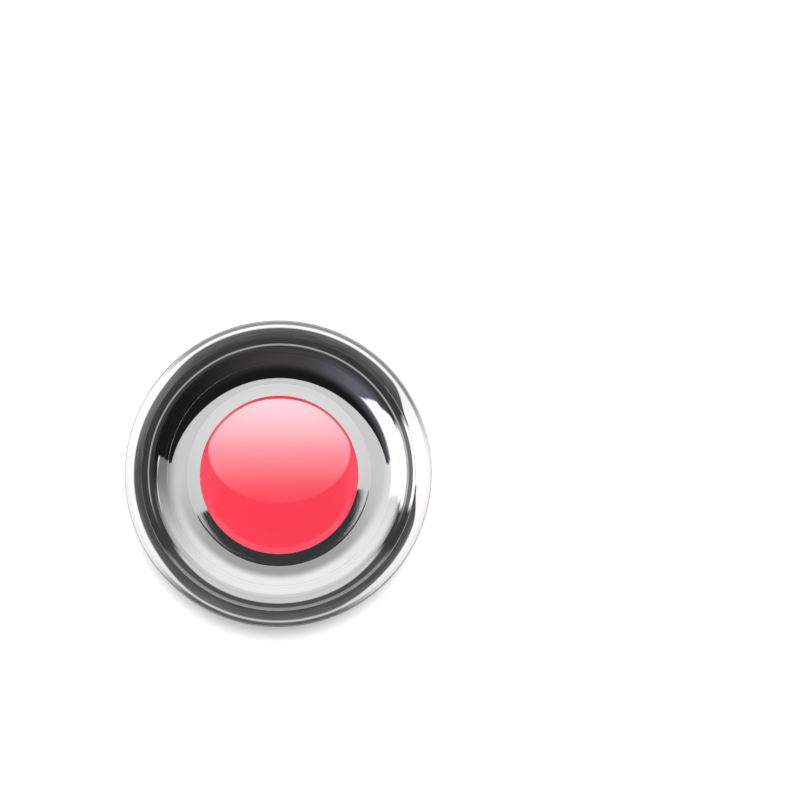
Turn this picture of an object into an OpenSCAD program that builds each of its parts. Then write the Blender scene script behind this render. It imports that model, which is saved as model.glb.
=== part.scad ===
// Magnetic pin bowl: a pressed stainless steel dish with a flared lip and a domed
// round label, screwed onto a ring magnet that sits in a moulded rubber cover.
// Millimetres, +Z up, origin at the middle of the cover's flat underside.

/* [Dish] */
// Diameter over the flared lip
rim_d = 108; // [105:1:116]
// Height of the dish, from the underside of its floor to the top of the lip
dish_depth = 24; // [20:0.2:25.6]
// How far the wall swells out past the flat floor
wall_swell = 15.2; // [13.6:0.2:17]
// Thickness of the steel sheet
sheet_t = 0.6; // [0.4:0.05:0.8]
// Slope of the crease that rings the flat floor
crease_slope = 7; // [4:0.5:10]
// Radius of that crease
crease_r = 2; // [1.2:0.1:4]
// Slope at which the tighter corner hands over to the wall
handover_slope = 48; // [40:1:52]

/* [Lip] */
// Width of the lip, from the outside of the wall to the edge
lip_w = 5.3; // [4.4:0.1:6]
// Radius of the lip's rolled-down edge
lip_roll_r = 1.6; // [1.2:0.1:2.2]
// Angle through which the edge is rolled down
lip_roll_turn = 75; // [50:5:85]
// Radius of the lip's crowned top
lip_crown_r = 7; // [5:0.5:12]
// Radius of the fold from the wall into the lip
lip_fold_r = 1.4; // [1.1:0.1:1.8]

/* [Label] */
// Diameter of the label
label_d = 58; // [40:1:62]
// Thickness of the adhesive under the label
label_glue_t = 0.15; // [0.1:0.05:0.3]
// Thickness of the printed film
label_film_t = 0.2; // [0.1:0.05:0.4]
// Height of the clear resin dome at its middle
dome_h = 1.4; // [0.8:0.1:2.4]
// Power of the dome's outline: higher is flatter with a tighter edge
dome_power = 6; // [3:1:12]

/* [Magnet] */
// Outer diameter of the ring magnet
magnet_d = 54; // [46:1:56]
// Diameter of the hole in the ring magnet
magnet_hole_d = 24; // [22:1:32]
// Height of the ring magnet
magnet_h = 10; // [10:0.5:16]
// Thickness of each steel pole plate
plate_t = 2; // [1.5:0.1:2.4]
// How far the upper plate stands out past the magnet all round
plate_overhang = 0.45; // [0.4:0.05:0.8]

/* [Cover] */
// Thickness of the cover's side at its top
cover_wall = 2; // [1.6:0.1:3]
// Thickness of the cover's foot
cover_foot_t = 2.2; // [1.6:0.1:4]
// How far the side leans in on its way down
cover_draft = 0.7; // [0:0.1:1]
// Radius round the foot's edge
cover_edge_r = 2; // [0.5:0.1:2.4]
// Gap left round a piece that drops into another
fit_gap = 0.25; // [0.15:0.05:0.35]

/* [Screw] */
// Diameter of the screw
screw_d = 4; // [3:0.5:5]
// Diameter of the countersunk head
head_d = 7.9; // [7.6:0.1:9]
// Width of the nut across its flats
nut_af = 7; // [6.5:0.5:9]
// Height of the nut
nut_h = 3.2; // [2.4:0.1:3.4]
// Diameter of both washers
washer_d = 9; // [8:0.5:12]
// Thickness of the flat washer
washer_t = 0.8; // [0.5:0.1:1]
// Thickness of the spring washer when it is squeezed flat
spring_t = 1; // [0.6:0.1:1.2]

/* [Hidden] */
$fn = 96;
// How far a chord may cut inside the arc it stands for
arc_error = 0.005;
// Play between cones that nest, round the screw's thread and in plain holes
seat_gap = 0.02;
thread_gap = 0.05;
hole_gap = 0.25;
glue_inset = 0.5;

// Heights of the stack, from the cover's underside up
magnet_z = cover_foot_t + plate_t;
upper_plate_z = magnet_z + magnet_h;
floor_z = upper_plate_z + plate_t;
floor_top = floor_z + sheet_t;
rim_z = floor_z + dish_depth;

// Dish section: the rolled edge, the crowned lip, the fold, the wall, the corner and
// the crease are arcs that meet in line. The lip's and the fold's radii are of the
// upper face, those of the wall, the corner and the crease of the outer face.
rim_r = rim_d / 2;
wall_r = rim_r - lip_w;
wall_in_r = wall_r - sheet_t;
edge_mid_r = lip_roll_r - sheet_t / 2;
peak_r = rim_r - sheet_t / 2 - edge_mid_r * sin(lip_roll_turn);
fold_tilt = asin((peak_r - wall_in_r - lip_fold_r) / (lip_crown_r - lip_fold_r));
crown_z = rim_z - lip_crown_r;
roll_z = rim_z - lip_roll_r;
neck_z = crown_z + (lip_crown_r - lip_fold_r) * cos(fold_tilt);
floor_r = wall_r - wall_swell;
crease_end = [floor_r + crease_r * sin(crease_slope),
    floor_z + crease_r * (1 - cos(crease_slope))];
// The corner's and the wall's radii follow from where the two have to end
wall_out = wall_r - crease_end[0];
wall_up = neck_z - crease_end[1];
corner_share = [sin(handover_slope) - sin(crease_slope), cos(crease_slope) - cos(handover_slope)];
wall_share = [1 - sin(handover_slope), cos(handover_slope)];
bend_det = corner_share[0] * wall_share[1] - wall_share[0] * corner_share[1];
corner_bend_r = (wall_out * wall_share[1] - wall_up * wall_share[0]) / bend_det;
wall_bend_r = (wall_up * corner_share[0] - wall_out * corner_share[1]) / bend_det;
corner_centre = crease_end + corner_bend_r * [-sin(crease_slope), cos(crease_slope)];

// Screw seat: the sheet is pressed down round the hole, so the head lies flush
head_r = head_d / 2;
screw_r = screw_d / 2;
screw_hole_r = screw_r + hole_gap;
head_h = head_r - screw_r;
// A sheet's two cones at 45 degrees lie this far apart along the axis
cone_lift = sheet_t * sqrt(2);
seat_r = head_r + seat_gap;
dimple_bottom = floor_top - (seat_r - screw_hole_r);

// Lower plate: a pressed cup in its middle takes the nut and centres the magnet
cup_r = magnet_hole_d / 2 - fit_gap;
cup_in_r = cup_r - plate_t;
thread_out = 0.3;
screw_end_clear = 2.6;
screw_end_z = cover_foot_t + screw_end_clear;
nut_z = screw_end_z + thread_out;
spring_z = nut_z + nut_h;
washer_z = spring_z + spring_t;
cup_ceiling = washer_z + washer_t;
cup_top = cup_ceiling + plate_t;

// Cover
magnet_r = magnet_d / 2;
plate_r = magnet_r + plate_overhang;
cover_in_r = plate_r + fit_gap;
cover_r = cover_in_r + cover_wall;
foot_r = cover_r - cover_draft;
bead_r = magnet_r + fit_gap / 2;
bead_h = 1.2;

label_r = label_d / 2;
film_z = floor_top + label_glue_t;
dome_z = film_z + label_film_t;

// Points along an arc; arc_error bounds how far the chords cut inside it
function arc(centre, r, from, to) =
    let (n = ceil(abs(to - from) * PI / 180 * sqrt(r / 8 / arc_error)))
        [for (i = [0:n]) let (a = from + (to - from) * i / n)
            centre + r * [cos(a), sin(a)]];

// One face of the sheet, from the floor up to the lip: its arcs meet in line. The
// inner face lies t inside the outer one.
function dish_face(t) = concat(
    arc([floor_r, floor_z + crease_r], crease_r - t, -90, crease_slope - 90),
    arc(corner_centre, corner_bend_r - t, crease_slope - 90, handover_slope - 90),
    arc([wall_r - wall_bend_r, neck_z], wall_bend_r - t, handover_slope - 90, 0),
    arc([wall_in_r + lip_fold_r, neck_z], lip_fold_r - sheet_t + t, 180, 90 + fold_tilt),
    arc([peak_r, crown_z], lip_crown_r - sheet_t + t, 90 + fold_tilt, 90),
    arc([peak_r, roll_z], lip_roll_r - sheet_t + t, 90, 90 - lip_roll_turn));

function reversed(list) = [for (i = [len(list) - 1:-1:0]) list[i]];

// A flat ring with its underside at height z
module ring(r, hole_r, z, h) {
    translate([0, 0, z])
        difference() {
            cylinder(r = r, h = h);
            translate([0, 0, -1]) cylinder(r = hole_r, h = h + 2);
        }
}

module bowl_section() {
    edge_centre = [peak_r + edge_mid_r * sin(lip_roll_turn),
        roll_z + edge_mid_r * cos(lip_roll_turn)];
    polygon(concat(
        [[screw_hole_r, dimple_bottom], [seat_r, floor_top]],
        dish_face(sheet_t),
        arc(edge_centre, sheet_t / 2, 90 - lip_roll_turn, -90 - lip_roll_turn),
        reversed(dish_face(0)),
        [[seat_r + cone_lift - sheet_t, floor_z], [screw_hole_r, dimple_bottom - cone_lift]]));
}

module bowl() {
    color("silver") rotate_extrude() bowl_section();
}

module label_adhesive() {
    color("whitesmoke") disc(label_r - glue_inset, floor_top, label_glue_t);
}

module label_print() {
    color("crimson") disc(label_r, film_z, label_film_t);
}

// A plain disc with its underside at height z
module disc(r, z, h) {
    translate([0, 0, z]) cylinder(r = r, h = h);
}

// Height of the resin at radius r: flat in the middle, rounded off at the edge
function dome_at(r) = dome_h * sqrt(1 - pow(r / label_r, dome_power));

module label_dome() {
    rings = 22;
    color("pink", 0.5)
        translate([0, 0, dome_z])
            rotate_extrude()
                polygon(concat([[0, 0]],
                    [for (i = [0:rings]) let (r = label_r * cos(90 * i / rings)) [r, dome_at(r)]]));
}

module clamp_screw() {
    recess_w = 0.9;
    recess_l = head_d * 0.55;
    recess_h = head_h * 0.8;
    color("gainsboro")
        difference() {
            union() {
                translate([0, 0, screw_end_z])
                    cylinder(r = screw_r, h = floor_top - screw_end_z);
                translate([0, 0, floor_top - head_h])
                    cylinder(r1 = screw_r, r2 = head_r, h = head_h);
            }
            for (turn = [0, 90])
                translate([0, 0, floor_top])
                    rotate(turn)
                        cube([recess_l, recess_w, 2 * recess_h], center = true);
        }
}

module upper_pole_plate() {
    // The hole is coned so that the dish's pressed seat nests in it
    seat_top_r = seat_r + cone_lift - sheet_t + seat_gap;
    color("slategray")
        translate([0, 0, upper_plate_z])
            difference() {
                cylinder(r = plate_r, h = plate_t);
                cylinder(r1 = seat_top_r - plate_t, r2 = seat_top_r, h = plate_t);
                translate([0, 0, -1]) cylinder(r = screw_hole_r, h = plate_t + 2);
            }
}

module ring_magnet() {
    color("dimgray") ring(magnet_r, magnet_hole_d / 2, magnet_z, magnet_h);
}

module lower_pole_plate() {
    cup_bend_r = plate_t / 2;
    color("slategray")
        rotate_extrude()
            difference() {
                union() {
                    translate([cup_in_r, cover_foot_t]) square([magnet_r - cup_in_r, plate_t]);
                    translate([cup_in_r, cover_foot_t])
                        square([plate_t, cup_top - cover_foot_t - cup_bend_r]);
                    translate([screw_hole_r, cup_ceiling])
                        square([cup_r - cup_bend_r - screw_hole_r, plate_t]);
                    translate([cup_r - cup_bend_r, cup_top - cup_bend_r]) circle(r = cup_bend_r);
                }
                // The mouth of the cup is bevelled, to lead the nut in
                translate([cup_in_r, cover_foot_t])
                    rotate(45) square(cup_bend_r, center = true);
            }
}

module flat_washer() {
    color("lightgray") ring(washer_d / 2, screw_hole_r, washer_z, washer_t);
}

module spring_washer() {
    slit = 0.7;
    inner_r = screw_hole_r;
    outer_r = washer_d / 2 - 0.8;
    color("darkgray")
        difference() {
            ring(outer_r, inner_r, spring_z, spring_t);
            // The ring is cut through on a slant, as it was wound
            translate([0, -slit / 2, spring_z - spring_t])
                multmatrix([[1, 0, 0, 0], [0, 1, 0.4, 0], [0, 0, 1, 0]])
                    cube([washer_d, slit, 3 * spring_t]);
        }
}

module clamp_nut() {
    corner_r = nut_af / 2 / cos(30);
    chamfer = corner_r - nut_af / 2;
    color("lightgray")
        translate([0, 0, nut_z])
            difference() {
                intersection() {
                    cylinder(r = corner_r, h = nut_h, $fn = 6);
                    rotate_extrude()
                        polygon([[0, 0], [nut_af / 2, 0], [corner_r, chamfer * tan(30)],
                            [corner_r, nut_h - chamfer * tan(30)], [nut_af / 2, nut_h], [0, nut_h]]);
                }
                translate([0, 0, -1]) cylinder(r = screw_r + thread_gap, h = nut_h + 2);
            }
}

module magnet_cover() {
    side_h = floor_z - cover_edge_r;
    lean = atan(cover_draft / side_h);
    bead_z = upper_plate_z - seat_gap;
    edge_steps = 8;
    // The foot's edge is an arc that ends in line with the leaning side
    edge_c = [foot_r - cover_edge_r, cover_edge_r];
    edge = [for (i = [0:edge_steps])
        let (a = -90 + (90 - lean) * i / edge_steps)
            edge_c + cover_edge_r * [cos(a), sin(a)]];
    color("black")
        rotate_extrude()
            polygon(concat([[0, 0]], edge, [[cover_r, floor_z],
                [cover_in_r, floor_z],
                // The snap bead hooks under the edge of the upper plate
                [cover_in_r, bead_z], [bead_r, bead_z - (cover_in_r - bead_r) / 2],
                [cover_in_r, bead_z - bead_h],
                [cover_in_r, cover_foot_t], [0, cover_foot_t]]));
}

bowl();
label_adhesive();
label_print();
label_dome();
clamp_screw();
upper_pole_plate();
ring_magnet();
lower_pole_plate();
flat_washer();
spring_washer();
clamp_nut();
magnet_cover();
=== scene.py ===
# %% [markdown]
# A magnetic pin bowl, dressed for its picture. The bowl is a polished steel dish with
# a flared lip, a domed round label on its floor and a magnet in a black rubber cover
# underneath. Its sizes come from a CAD model, which is loaded first and never moved.
# Each visible piece is then made again with smooth, dense faces, because a mirror
# finish shows every facet, and each hidden piece keeps its CAD mesh and gets a finish.

# %% Load the CAD model
import math

import bmesh
import bpy
from mathutils import Matrix, Vector


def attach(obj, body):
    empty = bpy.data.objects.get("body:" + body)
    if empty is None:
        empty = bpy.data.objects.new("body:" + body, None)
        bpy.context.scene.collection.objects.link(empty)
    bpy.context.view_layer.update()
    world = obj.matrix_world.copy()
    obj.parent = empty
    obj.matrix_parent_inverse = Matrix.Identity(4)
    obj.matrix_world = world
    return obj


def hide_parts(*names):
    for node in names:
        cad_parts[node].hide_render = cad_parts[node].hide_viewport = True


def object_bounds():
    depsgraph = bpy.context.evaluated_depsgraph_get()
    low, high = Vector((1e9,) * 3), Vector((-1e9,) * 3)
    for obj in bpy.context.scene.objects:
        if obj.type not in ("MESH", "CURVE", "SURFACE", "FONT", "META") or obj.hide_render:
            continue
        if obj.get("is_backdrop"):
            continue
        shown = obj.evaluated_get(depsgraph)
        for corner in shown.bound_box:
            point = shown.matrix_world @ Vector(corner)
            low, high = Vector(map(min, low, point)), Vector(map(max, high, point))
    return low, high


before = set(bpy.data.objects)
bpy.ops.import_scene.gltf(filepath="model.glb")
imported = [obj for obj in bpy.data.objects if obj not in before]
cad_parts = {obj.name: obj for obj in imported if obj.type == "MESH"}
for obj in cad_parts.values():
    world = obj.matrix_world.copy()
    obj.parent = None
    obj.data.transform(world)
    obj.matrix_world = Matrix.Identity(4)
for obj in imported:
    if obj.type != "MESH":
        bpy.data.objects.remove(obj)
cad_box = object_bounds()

MM = 0.001
print("CAD nodes:", ", ".join(sorted(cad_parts)))

# %% [markdown]
# The picture is a face-on view into the mouth, so the camera hangs over the dish and
# looks almost straight down. It aims beside the dish, not at it, and that alone puts
# the dish left of the middle and low in the frame, with no lens shift.

# %% Camera
CAMERA_AT = Vector((0.0, -18.0, 590.0)) * MM
CAMERA_AIM = Vector((42.55, 25.85, 40.0)) * MM
CAMERA_LENS = 70.08


def look_from(thing, place, aim, up=Vector((0, 1, 0))):
    """Puts a camera or light at a place, looking at aim with up towards the top."""
    back = (place - aim).normalized()
    right = up.cross(back).normalized()
    over = back.cross(right)
    thing.location = place
    thing.rotation_mode = "QUATERNION"
    turn = Matrix((right, over, back)).transposed()
    thing.rotation_quaternion = turn.to_quaternion()


camera_data = bpy.data.cameras.new("camera")
camera_data.lens = CAMERA_LENS
camera = bpy.data.objects.new("camera", camera_data)
bpy.context.scene.collection.objects.link(camera)
look_from(camera, CAMERA_AT, CAMERA_AIM)
bpy.context.scene.camera = camera
print("camera at", tuple(round(v, 3) for v in CAMERA_AT))

# %% [markdown]
# Materials and Geometry Nodes are both trees of nodes, so one method adds a node to
# either: it sets the node's settings first, because some of them change which sockets
# there are, and then fills or links the sockets. Sums are written as Python sums: a
# small class wraps a socket, and each operator adds the Math node that does the same.


# %% Helpers for node trees
def add_node(tree, kind, settings=None, sockets=None):
    """Adds a node, sets its settings, then its sockets, by name or number."""
    made = tree.nodes.new(kind)
    for name, setting in (settings or {}).items():
        setattr(made, name, setting)
    for name, given in (sockets or {}).items():
        if isinstance(given, Sum):
            given = given.socket
        if isinstance(given, bpy.types.NodeSocket):
            tree.links.new(given, made.inputs[name])
        else:
            made.inputs[name].default_value = given
    return made


class Sum:
    """A value in a node tree that can be used in a Python sum."""

    def __init__(self, tree, socket):
        self.tree = tree
        self.socket = socket

    def math(self, operation, *others):
        sockets = dict(enumerate((self, *others)))
        made = add_node(self.tree, "ShaderNodeMath", {"operation": operation}, sockets)
        return Sum(self.tree, made.outputs[0])

    def __add__(self, other):
        return self.math("ADD", other)

    def __sub__(self, other):
        return self.math("SUBTRACT", other)

    def __mul__(self, other):
        return self.math("MULTIPLY", other)

    def __truediv__(self, other):
        return self.math("DIVIDE", other)

    def __pow__(self, other):
        return self.math("POWER", other)

    def __radd__(self, other):
        return self.math("ADD", other)

    def __rmul__(self, other):
        return self.math("MULTIPLY", other)

    def __rsub__(self, other):
        return (self * -1.0).math("ADD", other)

    def rise(self, low, high):
        """0 below low, 1 above high and smooth between them."""
        made = add_node(
            self.tree,
            "ShaderNodeMapRange",
            {"interpolation_type": "SMOOTHSTEP"},
            {"Value": self, "From Min": low, "From Max": high},
        )
        return Sum(self.tree, made.outputs[0])


print("node helpers ready")

# %% [markdown]
# A finish is a Principled shader with a few patterns that feed its colour, roughness
# and bump. Every pattern reads Object coordinates, which are metres in the CAD frame,
# so a 0.2 mm brush mark is written as 0.2 mm. Values that are the same all over are
# set on the shader's own sockets.


# %% A class for finishes
class Finish:
    """A material under construction, with the sums and textures that it needs."""

    def __init__(self, name, shader="ShaderNodeBsdfPrincipled", **constants):
        self.material = bpy.data.materials.new(name)
        self.material.use_nodes = True
        self.tree = self.material.node_tree
        self.tree.nodes.clear()
        names = {key.replace("_", " "): value for key, value in constants.items()}
        self.shader = self.node(shader, sockets=names)
        out = self.node("ShaderNodeOutputMaterial")
        self.tree.links.new(self.shader.outputs[0], out.inputs["Surface"])
        self.place = self.node("ShaderNodeTexCoord").outputs["Object"]
        split = self.node("ShaderNodeSeparateXYZ", sockets={0: self.place})
        self.x, self.y, self.z = (Sum(self.tree, s) for s in split.outputs)

    def node(self, kind, settings=None, sockets=None):
        return add_node(self.tree, kind, settings, sockets)

    def feed(self, socket, given):
        """Links a sum or a socket to one of the shader's own sockets."""
        given = given.socket if isinstance(given, Sum) else given
        self.tree.links.new(given, self.shader.inputs[socket])

    def radius(self):
        """Distance from the axis."""
        return (self.x**2.0 + self.y**2.0) ** 0.5

    def way_round(self):
        """Distance from the axis, and how far it leads to the right and to the back."""
        out = self.radius()
        return out, self.x / out, self.y / out

    def noise(self, size, detail=2.0, vector=None, rough=0.5):
        """Soft noise from 0 to 1 whose blobs are about size metres across."""
        made = self.node(
            "ShaderNodeTexNoise",
            {"noise_dimensions": "3D"},
            {
                "Vector": self.place if vector is None else vector,
                "Scale": 1.0 / size,
                "Detail": detail,
                "Roughness": rough,
            },
        )
        return Sum(self.tree, made.outputs[0])

    def vector(self, x, y, z):
        return self.node("ShaderNodeCombineXYZ", sockets={0: x, 1: y, 2: z}).outputs[0]

    def blend(self, amount, low, high):
        """A colour between two colours, by a sum from 0 to 1."""
        colours = [(*c, 1.0) if isinstance(c, tuple) else c for c in (low, high)]
        made = self.node(
            "ShaderNodeMix",
            {"data_type": "RGBA"},
            {0: amount, 6: colours[0], 7: colours[1]},
        )
        return made.outputs[2]

    def colour(self, red, green=None, blue=None):
        """A colour from three sums, or a grey from one."""
        channels = {0: red, 1: green or red, 2: blue or red}
        return self.node("ShaderNodeCombineColor", sockets=channels).outputs[0]

    def bump(self, height, metres, strength=1.0):
        """Feeds the shader's Normal with a bump that is metres high."""
        made = self.node(
            "ShaderNodeBump",
            sockets={"Height": height, "Distance": metres, "Strength": strength},
        )
        self.feed("Normal", made.outputs[0])


# %% [markdown]
# Polished stainless sheet. The dish is spun against a polishing wheel, so what marks
# are left run round it. They are made from noise that is squeezed across the marks and
# stretched along them: its coordinates are the distance up the wall and the angle
# round the axis. A little of that goes to roughness and less still to the bump. Broad
# noise adds the faint cloudiness that handling leaves.


# %% Finish: polished steel
def polished_steel():
    steel = Finish("polished_steel", Metallic=1.0, Specular_Tint=(1.0, 1.0, 1.0, 1.0))
    up_the_wall = steel.radius() + steel.z
    angle = steel.y.math("ARCTAN2", steel.x)
    squeezed = steel.vector(up_the_wall / (0.12 * MM), angle * 2.5, steel.z / (4 * MM))
    marks = steel.noise(1.0, 3.0, squeezed)
    stretched = steel.vector(up_the_wall / (0.5 * MM), angle * 0.8, 0.0)
    long_marks = steel.noise(1.0, 2.0, stretched)
    clouds = steel.noise(9 * MM, 3.0)
    colour = steel.blend(clouds, (0.74, 0.73, 0.725), (0.80, 0.795, 0.79))
    steel.feed("Base Color", colour)
    steel.feed("Roughness", 0.008 + 0.016 * marks + 0.02 * long_marks * clouds)
    steel.bump(marks + long_marks, 0.0004 * MM)
    return steel.material


STEEL = polished_steel()
print("made", STEEL.name)

# %% [markdown]
# The label is a printed film: a coral red with a painted gloss on it. A lighter lobe whose
# outline is an ellipse and which pales towards the top is a painted highlight, a darker
# line at the top edge is painted shade and a paler band at the bottom edge is painted
# reflected light; the sides are slightly paler. All of it depends on the distance from the
# label's middle and on x and y, so smooth steps on those draw it. It is printed under the
# resin, so the film itself is only satin.

# %% Finish: printed film
LABEL_R = 29 * MM
PALE_RED = (0.95, 0.15, 0.22)
HIGHLIGHT_PINK = (0.97, 0.70, 0.76)
SHADE_RED = (0.66, 0.004, 0.03)


def printed_film():
    film = Finish("printed_film", Roughness=0.45)
    across = film.x / LABEL_R
    up = film.y / LABEL_R
    from_middle = film.radius() / LABEL_R
    # Painted highlight: a lighter lobe with an elliptic outline, paler towards the top.
    painted_highlight_edge = ((across / 0.9) ** 2.0 + ((up - 0.3) / 0.665) ** 2.0) ** 0.5
    painted_highlight = 1.0 - painted_highlight_edge.rise(0.975, 1.005)
    highlight_fade = 0.45 * up.rise(-0.35, 0.6) + 0.55 * up.rise(0.2, 1.1)
    strength = painted_highlight * (0.04 + 0.96 * highlight_fade)
    ink = film.noise(0.4 * MM, 2.0)
    red = film.blend(ink, (0.95, 0.0, 0.034), (0.98, 0.0, 0.040))
    side = (across**2.0).rise(0.45, 1.1) * (1.0 - (up + 0.1) ** 2.0)
    red = film.blend(side * 0.28, red, PALE_RED)
    face = film.blend(strength, red, HIGHLIGHT_PINK)
    # Painted reflected light: a paler band along the bottom edge.
    foot = from_middle.rise(0.90, 0.955) * (1.0 - up.rise(-0.75, -0.15))
    face = film.blend(foot * 0.42, face, PALE_RED)
    # Painted shade: a darker line along the top edge.
    painted_shade_line = from_middle.rise(0.955, 0.975) * up.rise(0.1, 0.6)
    face = film.blend(painted_shade_line * 0.85, face, SHADE_RED)
    film.feed("Base Color", face)
    film.bump(ink, 0.002 * MM)
    return film.material


FILM = printed_film()
print("made", FILM.name)

# %% [markdown]
# Clear resin, poured over the film. It is a glass-like shader that is a little rough and
# mirrors weakly, so that the painted highlight in the print stays the one that is seen. The
# film is let into it by a few hundredths of a millimetre, so that there is no thin slice
# of air between the two and the print looks wet, as it does in life.


# %% Finish: clear resin
def clear_resin():
    resin = Finish(
        "clear_resin",
        Base_Color=(1.0, 0.985, 0.985, 1.0),
        IOR=1.48,
        Specular_IOR_Level=0.1,
        Transmission_Weight=1.0,
    )
    ripple = resin.noise(14 * MM, 1.0)
    resin.feed("Roughness", 0.17 + 0.05 * resin.noise(3 * MM, 2.0))
    resin.bump(ripple, 0.01 * MM)
    return resin.material


RESIN = clear_resin()
print("made", RESIN.name)

# %% [markdown]
# Black rubber is dark but not quite matt: the mould leaves it a fine grain, and a soft
# sheen shows where the edge turns. Dust sits in the grain as slightly paler specks.


# %% Finish: moulded rubber
def moulded_rubber():
    rubber = Finish("moulded_rubber", Specular_IOR_Level=0.45)
    grain = rubber.noise(0.25 * MM, 4.0, rough=0.6)
    patches = rubber.noise(7 * MM, 2.0)
    dust = rubber.noise(0.6 * MM, 3.0).rise(0.62, 0.8)
    colour = rubber.blend(patches, (0.009, 0.009, 0.010), (0.016, 0.016, 0.017))
    rubber.feed("Base Color", rubber.blend(dust * 0.4, colour, (0.05, 0.05, 0.05)))
    rubber.feed("Roughness", 0.36 + 0.16 * grain + 0.08 * patches)
    rubber.bump(grain, 0.02 * MM, 0.6)
    return rubber.material


RUBBER = moulded_rubber()
print("made", RUBBER.name)

# %% [markdown]
# The hidden pieces are finished too, for whoever takes the bowl apart: zinc plate is a
# patchwork of dull crystals, ferrite is a grainy black ceramic, oiled spring steel is
# nearly black with brown in it, and the glue is a milky film with fine bubbles.


# %% Finishes: hidden pieces
def zinc_plate(name, colour, crystal):
    """Plated steel, with patches about crystal metres across."""
    zinc = Finish(name, Metallic=1.0)
    sockets = {"Vector": zinc.place, "Scale": 1 / crystal}
    cells = zinc.node("ShaderNodeTexVoronoi", {"feature": "F1"}, sockets)
    tone = Sum(zinc.tree, cells.outputs["Distance"])
    fine = zinc.noise(0.3 * MM, 3.0)
    darker = tuple(0.78 * c for c in colour)
    zinc.feed("Base Color", zinc.blend(tone, colour, darker))
    zinc.feed("Roughness", 0.22 + 0.18 * tone + 0.1 * fine)
    zinc.bump(fine, 0.004 * MM)
    return zinc.material


def ferrite():
    stone = Finish("ferrite", Specular_IOR_Level=0.5)
    grain = stone.noise(0.35 * MM, 5.0, rough=0.65)
    streaks = stone.vector(stone.x / (0.3 * MM), stone.y / (6 * MM), 0.0)
    ground = stone.noise(1.0, 2.0, streaks)
    colour = stone.blend(grain, (0.018, 0.018, 0.02), (0.06, 0.06, 0.065))
    stone.feed("Base Color", colour)
    stone.feed("Roughness", 0.5 + 0.25 * grain - 0.1 * ground)
    stone.bump(grain, 0.03 * MM)
    return stone.material


def oiled_steel():
    oiled = Finish("oiled_steel", Metallic=1.0)
    patches = oiled.noise(1.2 * MM, 4.0)
    colour = oiled.blend(patches, (0.045, 0.042, 0.04), (0.13, 0.11, 0.095))
    oiled.feed("Base Color", colour)
    oiled.feed("Roughness", 0.28 + 0.25 * patches)
    oiled.bump(patches, 0.006 * MM)
    return oiled.material


def milky_glue():
    glue = Finish("milky_glue", Roughness=0.3)
    bubbles = glue.noise(0.5 * MM, 2.0).rise(0.6, 0.7)
    colour = glue.blend(bubbles, (0.80, 0.79, 0.74), (0.93, 0.93, 0.9))
    glue.feed("Base Color", colour)
    glue.bump(bubbles, 0.01 * MM)
    return glue.material


HIDDEN = {
    "label_adhesive": milky_glue(),
    "clamp_screw": zinc_plate("bright_zinc", (0.74, 0.75, 0.78), 0.5 * MM),
    "flat_washer": zinc_plate("washer_zinc", (0.72, 0.73, 0.74), 0.7 * MM),
    "clamp_nut": zinc_plate("nut_zinc", (0.74, 0.75, 0.77), 0.6 * MM),
    "upper_pole_plate": zinc_plate("plate_zinc", (0.58, 0.59, 0.61), 2.2 * MM),
    "lower_pole_plate": zinc_plate("plate_zinc_lower", (0.58, 0.59, 0.61), 2.2 * MM),
    "ring_magnet": ferrite(),
    "spring_washer": oiled_steel(),
}
for name, material in HIDDEN.items():
    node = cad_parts[name]
    if not node.material_slots:
        node.data.materials.append(material)
    for place in node.material_slots:
        place.material = material
print("finished", len(HIDDEN), "hidden pieces")

# %% [markdown]
# Everything that shows is round, so one rule makes all of it: a profile turned about
# the axis. The rule is a Geometry Nodes tree. The profile comes in as a row of points;
# the tree makes a flat grid with one column for each point and one row for each step
# round, moves each grid point to its place on the turned profile, and welds the seam
# and the poles. Spin tools in mesh code would do it too, but the tree keeps the sizes
# as named inputs that can still be changed after it is built.

# %% The turning tree
STEPS_ROUND = 288


def turning_tree():
    tree = bpy.data.node_groups.new("turn_profile", "GeometryNodeTree")
    face = tree.interface
    face.new_socket("Geometry", in_out="INPUT", socket_type="NodeSocketGeometry")
    face.new_socket("Steps", in_out="INPUT", socket_type="NodeSocketInt")
    face.new_socket("Weld", in_out="INPUT", socket_type="NodeSocketFloat")
    face.new_socket("Finish", in_out="INPUT", socket_type="NodeSocketMaterial")
    face.new_socket("Geometry", in_out="OUTPUT", socket_type="NodeSocketGeometry")

    def node(kind, settings=None, sockets=None):
        return add_node(tree, kind, settings, sockets)

    given = node("NodeGroupInput").outputs
    profile = given["Geometry"]
    size = node("GeometryNodeAttributeDomainSize", sockets={0: profile})
    count = size.outputs["Point Count"]
    rows = Sum(tree, given["Steps"]) + 1.0
    grid = node("GeometryNodeMeshGrid", sockets={"Vertices X": rows, "Vertices Y": count})
    index = Sum(tree, node("GeometryNodeInputIndex").outputs[0])
    column = index.math("MODULO", count)
    row = (index / count).math("FLOOR")
    where = node(
        "GeometryNodeSampleIndex",
        {"data_type": "FLOAT_VECTOR", "domain": "POINT"},
        {
            "Geometry": profile,
            "Value": node("GeometryNodeInputPosition").outputs[0],
            "Index": column,
        },
    )
    turn = row / given["Steps"] * (2 * math.pi)
    turned = node(
        "ShaderNodeVectorRotate",
        {"rotation_type": "Z_AXIS"},
        {"Vector": where.outputs[0], "Angle": turn},
    )
    placed = node(
        "GeometryNodeSetPosition",
        sockets={"Geometry": grid.outputs["Mesh"], "Position": turned.outputs[0]},
    )
    welded = node(
        "GeometryNodeMergeByDistance",
        sockets={"Geometry": placed.outputs[0], "Distance": given["Weld"]},
    )
    real = node("GeometryNodeRealizeInstances", sockets={0: welded.outputs[0]})
    dressed = node(
        "GeometryNodeSetMaterial",
        sockets={"Geometry": real.outputs[0], "Material": given["Finish"]},
    )
    node("NodeGroupOutput", sockets={0: dressed.outputs[0]})
    return tree


TURNING = turning_tree()
print("tree with", len(TURNING.nodes), "nodes")

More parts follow.
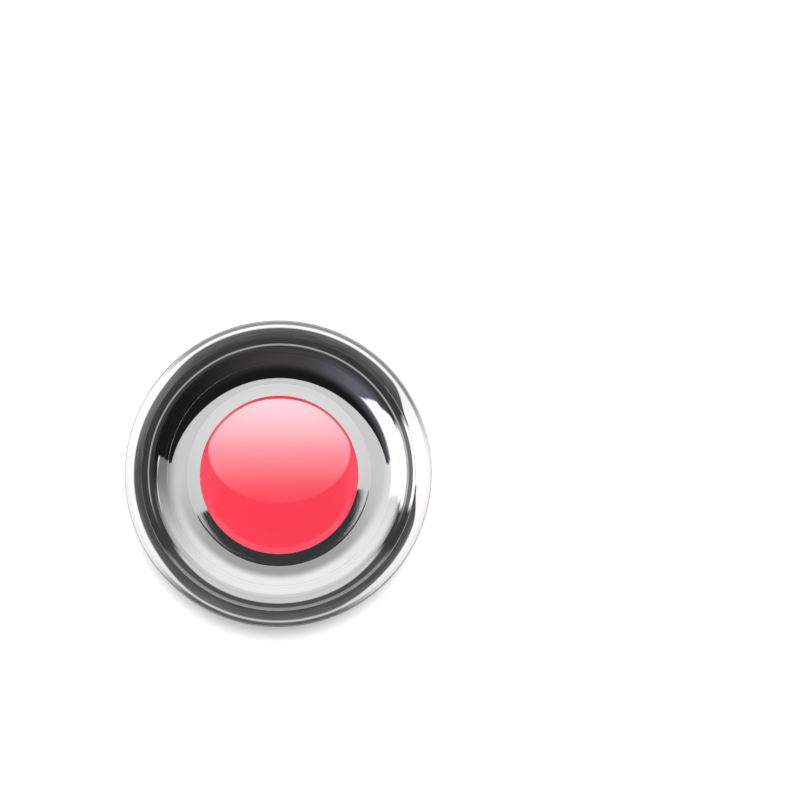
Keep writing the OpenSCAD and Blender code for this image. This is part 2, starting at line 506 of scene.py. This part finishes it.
# %% [markdown]
# The tree is used through a modifier. Its inputs are set by identifier, the result is
# taken as a plain mesh, and the modifier goes. Two things are then put right: faces
# that point inwards are turned, which the sign of the volume shows, and edges sharper
# than a set angle are marked, so that smooth shading stays smooth across the arcs and
# crisp at the corners. The volume is printed beside the CAD node's.

# %% Turn a profile into a piece
SHARP = math.radians(28)
WELD = 0.0004 * MM


def volume_mm3(mesh):
    solid = bmesh.new()
    solid.from_mesh(mesh)
    volume = solid.calc_volume(signed=True)
    solid.free()
    return volume / MM**3


def turned_piece(name, points, material, node):
    """Turns (radius, height) points about the axis, in place of a CAD node."""
    row = bpy.data.meshes.new(name + "_row")
    row.from_pydata([(r, 0.0, z) for r, z in points], [], [])
    piece = bpy.data.objects.new(name, row)
    bpy.context.scene.collection.objects.link(piece)
    modifier = piece.modifiers.new("turn", "NODES")
    modifier.node_group = TURNING
    values = {"Steps": STEPS_ROUND, "Weld": WELD, "Finish": material}
    for item in TURNING.interface.items_tree:
        if item.in_out == "INPUT" and item.name in values:
            modifier[item.identifier] = values[item.name]
    graph = bpy.context.evaluated_depsgraph_get()
    mesh = bpy.data.meshes.new_from_object(piece.evaluated_get(graph))
    piece.modifiers.clear()
    piece.data = mesh
    mesh.name = name
    if volume_mm3(mesh) < 0:
        mesh.flip_normals()
    mesh.shade_smooth()
    mesh.set_sharp_from_angle(angle=SHARP)
    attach(piece, "root")
    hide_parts(node)
    cad = volume_mm3(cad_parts[node].data)
    print(f"{name}: {len(mesh.polygons)} faces, {volume_mm3(mesh):.1f} mm3, CAD {cad:.1f}")
    return piece


# %% [markdown]
# Profiles are lists of points made from straight runs and arcs. Long straight runs get
# points too: smooth shading mixes the direction of neighbouring faces at each point,
# and on a mirror a long face next to an arc would bend every reflection across it.


# %% Straight runs and arcs
def run(a, b, step):
    """Points from a to b, both included, no further apart than step."""
    count = max(1, math.ceil(math.dist(a, b) / step))
    return [tuple(p + (q - p) * i / count for p, q in zip(a, b)) for i in range(count + 1)]


def arc(centre, radius, start, end, step):
    """Points on an arc, in degrees from the outward direction, step degrees apart."""
    count = max(1, math.ceil(abs(end - start) / step))
    turns = [math.radians(start + (end - start) * i / count) for i in range(count + 1)]
    r, z = centre
    return [(r + radius * math.cos(t), z + radius * math.sin(t)) for t in turns]


def joined(*parts):
    """One list of points in metres, without the doubles where parts meet."""
    points = []
    for part in parts:
        for r, z in part:
            if not points or math.dist(points[-1], (r * MM, z * MM)) > 1e-8:
                points.append((r * MM, z * MM))
    return points


# %% [markdown]
# The dish is one sheet of steel, 0.6 mm thick. Pressing gives it, from the middle out:
# a cone that takes the screw's head, a flat floor with a fine crease round it, a corner,
# a long curved wall, a tight fold and a crowned lip whose edge is rolled down. The
# corner's and the wall's radii aren't chosen: they follow from the floor, the rim and
# the slope where they meet.

# %% The dish
SHEET = 0.6
FLOOR_Z = 16.2
RIM_Z = 40.2
RIM_R = 54.0
WALL_R = 48.7
FLOOR_R = WALL_R - 15.2
CREASE = 7.0
CREASE_R = 2.0
HANDOVER = 48.0
ROLL = 1.6
ROLL_TURN = 75.0
CROWN = 7.0
FOLD = 1.4
SEAT_R = 3.97
HOLE_R = 2.25


def dish_faces():
    """The sheet's inner face, rolled edge and outer face, from the floor to the lip."""
    roll = math.radians(ROLL_TURN)
    edge_r = ROLL - SHEET / 2
    peak_r = RIM_R - SHEET / 2 - edge_r * math.sin(roll)
    crown_z, roll_z = RIM_Z - CROWN, RIM_Z - ROLL
    fold_r = WALL_R - SHEET + FOLD
    tilt = math.degrees(math.asin((peak_r - fold_r) / (CROWN - FOLD)))
    neck_z = crown_z + (CROWN - FOLD) * math.cos(math.radians(tilt))
    sin_a, cos_a = math.sin(math.radians(CREASE)), math.cos(math.radians(CREASE))
    sin_b, cos_b = math.sin(math.radians(HANDOVER)), math.cos(math.radians(HANDOVER))
    start_r, start_z = FLOOR_R + CREASE_R * sin_a, FLOOR_Z + CREASE_R * (1 - cos_a)
    reach, climb = WALL_R - start_r, neck_z - start_z
    share = (sin_b - sin_a) * cos_b - (1 - sin_b) * (cos_a - cos_b)
    corner = (reach * cos_b - climb * (1 - sin_b)) / share
    wall = (climb * (sin_b - sin_a) - reach * (cos_a - cos_b)) / share
    corner_c = (start_r - corner * sin_a, start_z + corner * cos_a)
    faces = []
    for depth in (SHEET, 0.0):
        faces.append(
            arc((FLOOR_R, FLOOR_Z + CREASE_R), CREASE_R - depth, -90, CREASE - 90, 1.0)
            + arc(corner_c, corner - depth, CREASE - 90, HANDOVER - 90, 1.5)
            + arc((WALL_R - wall, neck_z), wall - depth, HANDOVER - 90, 0, 1.25)
            + arc((fold_r, neck_z), FOLD - SHEET + depth, 180, 90 + tilt, 5.0)
            + arc((peak_r, crown_z), CROWN - SHEET + depth, 90 + tilt, 90, 2.0)
            + arc((peak_r, roll_z), ROLL - SHEET + depth, 90, 90 - ROLL_TURN, 4.0)
        )
    centre = (peak_r + edge_r * math.sin(roll), roll_z + edge_r * math.cos(roll))
    edge = arc(centre, SHEET / 2, 90 - ROLL_TURN, -90 - ROLL_TURN, 15.0)
    print(f"corner radius {corner:.2f} mm, wall radius {wall:.2f} mm, lip slope {tilt:.1f} deg")
    return faces[0], edge, faces[1]


INNER_FACE, ROLLED_EDGE, OUTER_FACE = dish_faces()


def dish_profile():
    """The whole outline: the screw's seat, the floor, the faces and back underneath."""
    top = FLOOR_Z + SHEET
    lift = SHEET * math.sqrt(2)
    low = top - (SEAT_R - HOLE_R)
    under_r = SEAT_R + lift - SHEET
    return joined(
        run((HOLE_R, low), (SEAT_R, top), 0.4),
        run((SEAT_R, top), (FLOOR_R, top), 0.75),
        INNER_FACE,
        ROLLED_EDGE,
        OUTER_FACE[::-1],
        run((FLOOR_R, FLOOR_Z), (under_r, FLOOR_Z), 0.75),
        run((under_r, FLOOR_Z), (HOLE_R, low - lift), 0.4),
        [(HOLE_R, low - lift), (HOLE_R, low)],
    )


DISH = turned_piece("dish", dish_profile(), STEEL, "bowl")

# %% [markdown]
# The label is a thin disc of film with a dome of resin on it. The dome's outline is
# nearly flat in the middle and rounds off close to the edge, as resin does when its own
# surface tension holds it. A power curve gives that shape with one number. The dome
# casts no shadow, because light goes through it to the print.

# %% The label
FILM_Z = FLOOR_Z + SHEET + 0.15
FILM_T = 0.2
DOME_H = 1.4
DOME_POWER = 6
LET_IN = 0.03
DOME_STEPS = 60


def film_profile():
    edge = LABEL_R / MM - 0.01
    top = FILM_Z + FILM_T + LET_IN
    return joined(
        run((0.0, FILM_Z), (edge, FILM_Z), 2.0),
        run((edge, FILM_Z), (edge, top), 0.1),
        run((edge, top), (0.0, top), 1.0),
    )


def dome_profile():
    edge = LABEL_R / MM
    foot = FILM_Z + FILM_T
    outline = []
    for i in range(DOME_STEPS + 1):
        r = edge * math.cos(math.pi / 2 * i / DOME_STEPS)
        outline.append((r, foot + DOME_H * math.sqrt(1 - (r / edge) ** DOME_POWER)))
    return joined(run((0.0, foot), (edge, foot), 1.0), outline)


LABEL = turned_piece("label_face", film_profile(), FILM, "label_print")
DOME = turned_piece("label_resin", dome_profile(), RESIN, "label_dome")
DOME.visible_shadow = False

# %% [markdown]
# The rubber cover is a cup that is pulled over the magnet. It leans in a little on its
# way down, so that it leaves the mould, and its foot has a rounded edge. Inside, a small
# bead snaps under the upper steel plate.

# %% The cover
COVER_R = 29.7
FOOT_R = 29.0
EDGE_R = 2.0
COVER_IN_R = 27.7
BEAD_R = 27.125
BEAD_Z = 14.18
BEAD_H = 1.2
FOOT_T = 2.2
BRIM = 0.3


def cover_profile():
    lean = math.degrees(math.atan((COVER_R - FOOT_R) / (FLOOR_Z - EDGE_R)))
    foot = arc((FOOT_R - EDGE_R, EDGE_R), EDGE_R, -90, -lean, 6.0)
    bead_mid = BEAD_Z - (COVER_IN_R - BEAD_R) / 2
    return joined(
        run((0.0, 0.0), (FOOT_R - EDGE_R, 0.0), 1.5),
        foot,
        run(foot[-1], (COVER_R, FLOOR_Z - BRIM), 1.0),
        arc((COVER_R - BRIM, FLOOR_Z - BRIM), BRIM, 0, 90, 18.0),
        run((COVER_R - BRIM, FLOOR_Z), (COVER_IN_R, FLOOR_Z), 0.8),
        [(COVER_IN_R, FLOOR_Z), (COVER_IN_R, BEAD_Z), (BEAD_R, bead_mid)],
        [(COVER_IN_R, BEAD_Z - BEAD_H), (COVER_IN_R, FOOT_T)],
        run((COVER_IN_R, FOOT_T), (0.0, FOOT_T), 3.0),
    )


COVER = turned_piece("cover", cover_profile(), RUBBER, "magnet_cover")

# %% [markdown]
# The bowl stands on a plain pale floor. The world around it is white near the horizon
# and greyer overhead, and one sun lamp high up behind the bowl gives the soft shadow in
# front. Mirror rays see neither the lamp nor the world. A mirror, though, needs
# something to reflect, or it looks like grey paint. Product studios hang a tent of
# white and black cloth round a shiny thing. Here that tent is a large ball which only
# mirror rays can see, so it shapes the steel and hardly touches the rest.


# %% Floor, world and lamp
def staged(name, mesh):
    thing = bpy.data.objects.new(name, mesh)
    bpy.context.scene.collection.objects.link(thing)
    thing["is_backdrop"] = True
    return thing


def floor_mesh(outer, hole, corners=96):
    """A large disc with a hole that the bowl's foot hides."""
    mesh = bpy.data.meshes.new("floor")
    turns = [2 * math.pi * i / corners for i in range(corners)]
    places = [(r * math.cos(t), r * math.sin(t), 0.0) for r in (hole, outer) for t in turns]
    faces = []
    for i in range(corners):
        j = (i + 1) % corners
        faces.append((i, i + corners, j + corners, j))
    mesh.from_pydata(places, [], faces)
    return mesh


def floor_paint():
    paint = Finish("floor_paint", Roughness=0.9, Specular_IOR_Level=0.1)
    mottle = paint.noise(60 * MM, 3.0)
    colour = paint.blend(mottle, (0.94, 0.94, 0.945), (0.965, 0.965, 0.965))
    paint.feed("Base Color", colour)
    return paint.material


floor = staged("floor", floor_mesh(12.0, 26 * MM))
floor.data.materials.append(floor_paint())

world = bpy.data.worlds.new("world")
world.use_nodes = True
sky = world.node_tree
facing = add_node(sky, "ShaderNodeTexCoord").outputs["Generated"]
height = Sum(sky, add_node(sky, "ShaderNodeSeparateXYZ", sockets={0: facing}).outputs[2])
backdrop = 1.06 - 0.46 * height.rise(0.08, 0.55)
channels = {0: backdrop, 1: backdrop, 2: backdrop}
white = add_node(sky, "ShaderNodeCombineColor", sockets=channels)
sky.links.new(white.outputs[0], sky.nodes["Background"].inputs["Color"])
bpy.context.scene.world = world

lamp_data = bpy.data.lights.new("lamp", "SUN")
lamp_data.angle = math.radians(11.0)
lamp_data.energy = 2.1
lamp = bpy.data.objects.new("lamp", lamp_data)
bpy.context.scene.collection.objects.link(lamp)
look_from(lamp, Vector((0.02, 0.20, 1.3)), Vector((0, 0, 0)))
lamp.visible_glossy = False
lamp.visible_transmission = False
bpy.context.scene.view_settings.view_transform = "Standard"
print("lamp strength", lamp_data.energy)

# %% [markdown]
# The tent is painted by direction: the tilt from straight up and the way round. Straight
# up it is light, for the flat floor. The front half is dark cloth and turns the upper
# part of the wall dark in the picture. The cloth's edge is a curve, so that the dark part
# ends in a crescent, and its left end is a hazy blue. The back half goes from grey to
# white and to dark again as it comes down, for the lower part of the wall. A tall window
# stands at the left, and the right fades to grey, with one bright strip low down. A wall
# mirrors what is across from it, so left in the tent is right in the picture.


# %% Light by direction
WINDOW = (1.4, 1.42, 1.45)


def stage_emission(name):
    return Finish(name, "ShaderNodeEmission", Strength=1.0)


def studio_light(paint, x, y, tilt):
    """The colour of the tent in the direction (x, y), tilt degrees from straight up."""
    radians = tilt * (math.pi / 180)
    flat = (x**2.0 + y**2.0 + 1e-9) ** 0.5
    to_back = y / flat
    to_left = x / flat * -1.0
    back = 0.92 - 0.47 * tilt.rise(5.5, 9.0) + 0.64 * tilt.rise(30.0, 60.0)
    back = back - 0.40 * tilt.rise(98.0, 121.0)
    back = back - 0.58 * tilt.rise(121.0, 131.0)
    slant = tilt - 14.0 * to_back
    strip = slant.rise(103.0, 104.5) * (1.0 - slant.rise(107.0, 109.0))
    right = 0.77 - 0.52 * tilt.rise(38.0, 95.0) - 0.22 * slant.rise(107.0, 109.0)
    right = right + 0.85 * strip * (1.0 - to_back.rise(0.2, 0.4))
    left = 0.77 + 0.12 * tilt.rise(50.0, 66.0) - 0.75 * tilt.rise(108.0, 117.0)
    side = right + (left - right) * to_left.rise(-0.6, 0.6)
    light = side + (back - side) * to_back.rise(0.0, 1.0)
    grey = paint.colour(light, light, light * 1.01)
    dark = 0.013 + 0.052 * tilt.rise(48.0, 85.0) * to_left.rise(-0.9, 0.1)
    haze = to_left.rise(0.15, 0.75) * tilt.rise(48.0, 92.0) * (1.0 - tilt.rise(98.0, 124.0))
    cool = dark * 0.95
    cloth = paint.colour(dark + 0.08 * haze, cool + 0.10 * haze, cool + 0.13 * haze)
    hem = (1.1 * (1.0 - radians.math("COSINE")) ** 2.0 - 0.41).math("MINIMUM", -0.06)
    depth = to_back * radians.math("SINE") - hem
    colour = paint.blend(depth.rise(-0.012, 0.012), cloth, grey)
    slope = to_left - 0.0043 * (tilt - 95.0)
    pane = slope.rise(0.78, 0.81) * tilt.rise(80.0, 87.0) * (1.0 - tilt.rise(126.0, 129.0))
    pane = pane * (1.0 - to_back.rise(0.22, 0.30))
    return paint.blend(pane, colour, WINDOW)


# %% The reflection tent
TENT_R = 1.6


def tent_paint():
    tent = stage_emission("tent_paint")
    high = tent.z / (tent.radius() ** 2.0 + tent.z**2.0) ** 0.5
    tilt = high.math("ARCCOSINE") * math.degrees(1)
    tent.feed("Color", studio_light(tent, tent.x, tent.y, tilt))
    return tent.material


def reflected_only(thing):
    """Hides a thing from every ray but those that come off a mirror."""
    thing.visible_camera = False
    thing.visible_diffuse = False
    thing.visible_transmission = False
    thing.visible_volume_scatter = False
    thing.visible_shadow = False


def ball_mesh(radius):
    mesh = bpy.data.meshes.new("tent")
    ball = bmesh.new()
    bmesh.ops.create_uvsphere(ball, u_segments=64, v_segments=32, radius=radius)
    ball.to_mesh(mesh)
    ball.free()
    mesh.shade_smooth()
    return mesh


tent = staged("tent", ball_mesh(TENT_R))
tent.data.materials.append(tent_paint())
reflected_only(tent)

# %% [markdown]
# A real mirror bowl also sees itself, as a jumble of fine rings and a red glow from the
# label. The picture shows neither: its wall goes smoothly on from the tent. So mirror
# rays pass through the bowl's own pieces, and what they meet instead is a liner, hidden
# in the middle of the sheet. It is cut in fine steps. Level rays from across the bowl
# meet the risers, which carry the tent's light on, by height instead of by tilt. Steep
# rays from the wall right above meet the treads: dark with one lighter ring line, and
# with lighter parts at the front and at the right. In the middle the liner is a well
# that is open at the bottom, and the wide tread round it dips, so that level rays which
# come over the well's edge meet the first riser and not the tread.


# %% The liner
LEVEL_Z = 22.0
TILT_PER_MM = 0.7
LINER_STEP = 0.1
LINER_TOP = RIM_Z - 2.6
WELL_R = 28.5
WELL_FOOT_R = 27.0
WELL_FOOT_Z = 1.6
OVER_FLOOR = 0.1
DIP = 0.5


def riser_paint():
    riser = stage_emission("riser_paint")
    tilt = 90.0 - (riser.z - LEVEL_Z * MM) * (TILT_PER_MM / MM)
    riser.feed("Color", studio_light(riser, riser.x, riser.y, tilt))
    return riser.material


def tread_paint():
    tread = stage_emission("tread_paint")
    out, across, along = tread.way_round()
    front = 1.0 - along.rise(-0.68, -0.52)
    right = across.rise(0.89, 0.95) * along.rise(-0.30, -0.20)
    line_at = out + 1.0 * MM * across.rise(-0.95, -0.6)
    line = line_at.rise(32.2 * MM, 33.2 * MM) * (1.0 - line_at.rise(34.6 * MM, 35.4 * MM))
    low = 1.0 - (out + 2.0 * MM * along.rise(-0.9, -0.6)).rise(32.6 * MM, 34.0 * MM)
    high = out.rise(41.0 * MM, 43.0 * MM)
    grey = 0.03 + 0.05 * tread.noise(16 * MM, 2.0) + 0.40 * line * along.rise(-0.45, -0.1)
    grey = grey + front * (0.68 * low + 0.22 * high + 0.04)
    grey = grey + right * (1.2 * low + 1.2 * high + 0.15)
    tread.feed("Color", tread.colour(grey))
    return tread.material


def stepped(points, step):
    """A staircase that follows a climbing row of points, with steps about step high."""
    stairs = [points[0]]
    for start, end in zip(points, points[1:]):
        for r, z in run(start, end, step):
            if z - stairs[-1][1] >= 0.8 * step:
                stairs += [(r, stairs[-1][1]), (r, z)]
    return stairs


def liner_points():
    faces = zip(INNER_FACE, OUTER_FACE)
    middle = [((a[0] + b[0]) / 2, (a[1] + b[1]) / 2) for a, b in faces]
    wall = [(r, z) for r, z in middle if z < LINER_TOP and r < WALL_R]
    well = [(WELL_FOOT_R, OVER_FLOOR), (WELL_R, WELL_FOOT_Z), (WELL_R, wall[0][1])]
    stairs = stepped(wall, LINER_STEP)
    dip = [(r, z - DIP) for r, z in stairs[:2]]
    return joined(well, dip, stairs[2:])


def lathe_mesh(name, points, steps=144):
    """A turned surface made face by face, for stage objects only."""
    mesh = bpy.data.meshes.new(name)
    turns = [2 * math.pi * i / steps for i in range(steps)]
    places = [(r * math.cos(t), r * math.sin(t), z) for t in turns for r, z in points]
    count = len(points)
    faces = []
    for i in range(steps):
        a, b = i * count, (i + 1) % steps * count
        faces += [(a + j, b + j, b + j + 1, a + j + 1) for j in range(count - 1)]
    mesh.from_pydata(places, [], faces)
    return mesh


RISER = riser_paint()
liner = staged("liner", lathe_mesh("liner", liner_points()))
liner.data.materials.append(RISER)
liner.data.materials.append(tread_paint())
for face in liner.data.polygons:
    face.material_index = 1 if abs(face.normal.z) > 0.99 else 0
reflected_only(liner)
for piece in (DISH, LABEL, DOME, COVER, *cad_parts.values()):
    piece.visible_glossy = False
print("liner:", len(liner.data.polygons), "faces")

# %% [markdown]
# The lip is darker than the wall in the same light, with a white line along its highest
# part and white ends left and right. In a studio that is the work of a card ring laid
# around the rim. One flat ring does it here, a little above the lip, so that each part
# of the lip sees the part of the ring right above it. Its inner edge hangs down to the
# liner's top and is lined with the risers' paint, so that the wall sees no gap there. A
# second, wide ring lies on the floor: it keeps the outer face of the dish from mirroring
# the floor's plain white. A black band round the cover hides the liner's well from the
# underside of the dish.


# %% Card rings
CARD_Z = RIM_Z + 0.6
CARD_LOW_Z = CARD_Z - 3.5
CARD_IN_R = 44.5
CARD_OUT_R = 66.0
LINING_R = 44.4
APRON_IN_R = 27.0
APRON_OUT_R = 500.0
BAND_R = 29.8


def lip_card_paint():
    card = stage_emission("lip_card_paint")
    out, across, along = card.way_round()
    left = (across * -1.0).rise(0.55, 0.85)
    right = across.rise(0.74, 0.97) * along.rise(-0.5, 0.0)
    ends = (left + (across - 0.35 * along).rise(0.66, 1.0)).math("MINIMUM", 1.0)
    streak = card.noise(1.0, 2.0, card.vector(across * 5.0, along * 5.0, out / (1.2 * MM)))
    slope = 0.03 + 0.14 * streak + 0.06 * out.rise(47 * MM, 51 * MM)
    slope = slope + 0.1 * left * along.rise(0.0, 0.4)
    start = (51.45 - 0.2 * along - 1.0 * ends - 7.0 * right * right) * MM
    crest = (out - start).rise(-0.45 * MM, 0.35 * MM)
    top = 1.05 + 0.3 * along + 0.3 * ends
    fall = out.rise(52.1 * MM, 52.75 * MM) * (1.0 - 0.9 * ends)
    edge = (0.22 + 0.12 * along + 0.10 * streak) * (1.0 - 0.4 * out.rise(53.2 * MM, 57 * MM))
    grey = slope + (top - slope) * crest
    card.feed("Color", card.colour(grey + (edge - grey) * fall))
    return card.material


def apron_paint():
    apron = stage_emission("apron_paint")
    out, across, along = apron.way_round()
    ends = (across**2.0).rise(0.45, 0.9) * out.rise(40 * MM, 120 * MM)
    # Painted shadow: darker near the bowl and towards the front, where the floor's shadow lies,
    # so the dish's outer face mirrors a shaded floor.
    grey = 0.10 + 0.25 * out.rise(28 * MM, 90 * MM) + 0.65 * out.rise(100 * MM, 500 * MM)
    grey = grey * (0.72 + 0.24 * along) + 0.55 * ends + 0.06 * apron.noise(50 * MM, 2.0)
    apron.feed("Color", apron.colour(grey))
    return apron.material


def black_card_paint():
    black = stage_emission("black_card")
    black.shader.inputs["Color"].default_value = (0.045, 0.045, 0.05, 1.0)
    return black.material


BLACK_CARD = black_card_paint()
LIP_CARD = [(CARD_IN_R, CARD_LOW_Z), (CARD_IN_R, CARD_Z), (CARD_OUT_R, CARD_Z)]
LINING = [(LINING_R, CARD_LOW_Z), (LINING_R, CARD_Z)]
APRON = [(APRON_IN_R, OVER_FLOOR), (APRON_OUT_R, OVER_FLOOR)]
BAND = [(BAND_R, OVER_FLOOR), (BAND_R, FLOOR_Z)]
for name, outline, paint in (
    ("lip_card", LIP_CARD, lip_card_paint()),
    ("lip_card_lining", LINING, RISER),
    ("apron", APRON, apron_paint()),
    ("cover_card", BAND, BLACK_CARD),
):
    card = staged(name, lathe_mesh(name, joined(outline)))
    card.data.materials.append(paint)
    reflected_only(card)

# %% [markdown]
# A camera that looks into a mirror sees its own lens. Here it shows as the dark crescent
# below the label, where the flat floor and the label end, and a bent strip of black card
# high up in the tent makes it.


# %% The lens in the mirror
LENS_R = 111.1 * MM
LENS_AT = Vector((0.8, 32.2, 1550.0)) * MM
LENS_ENDS = (198.5, 358.0)
LENS_STRIP = 0.4


def crescent_mesh(outer, centre, corners=96):
    """The front part of a disc's outer strip. The label hides what lies further in."""
    mesh = bpy.data.meshes.new("lens_crescent")
    start, end = (math.radians(turn) for turn in LENS_ENDS)
    turns = [start + (end - start) * i / corners for i in range(corners + 1)]
    ring = []
    for r in (outer, outer * (1.0 - LENS_STRIP)):
        for t in turns:
            ring.append((centre.x + r * math.cos(t), centre.y + r * math.sin(t), centre.z))
    count = corners + 1
    faces = [(i, i + 1, i + 1 + count, i + count) for i in range(corners)]
    mesh.from_pydata(ring, [], faces)
    return mesh


lens = staged("lens_crescent", crescent_mesh(LENS_R, LENS_AT))
lens.data.materials.append(BLACK_CARD)
reflected_only(lens)

# %% Sizes and finish
seen_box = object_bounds()
sizes = {"cad": [list(v) for v in cad_box], "visual": [list(v) for v in seen_box]}
for label, box in sizes.items():
    print(label, [round((b - a) / MM, 3) for a, b in zip(*box)])
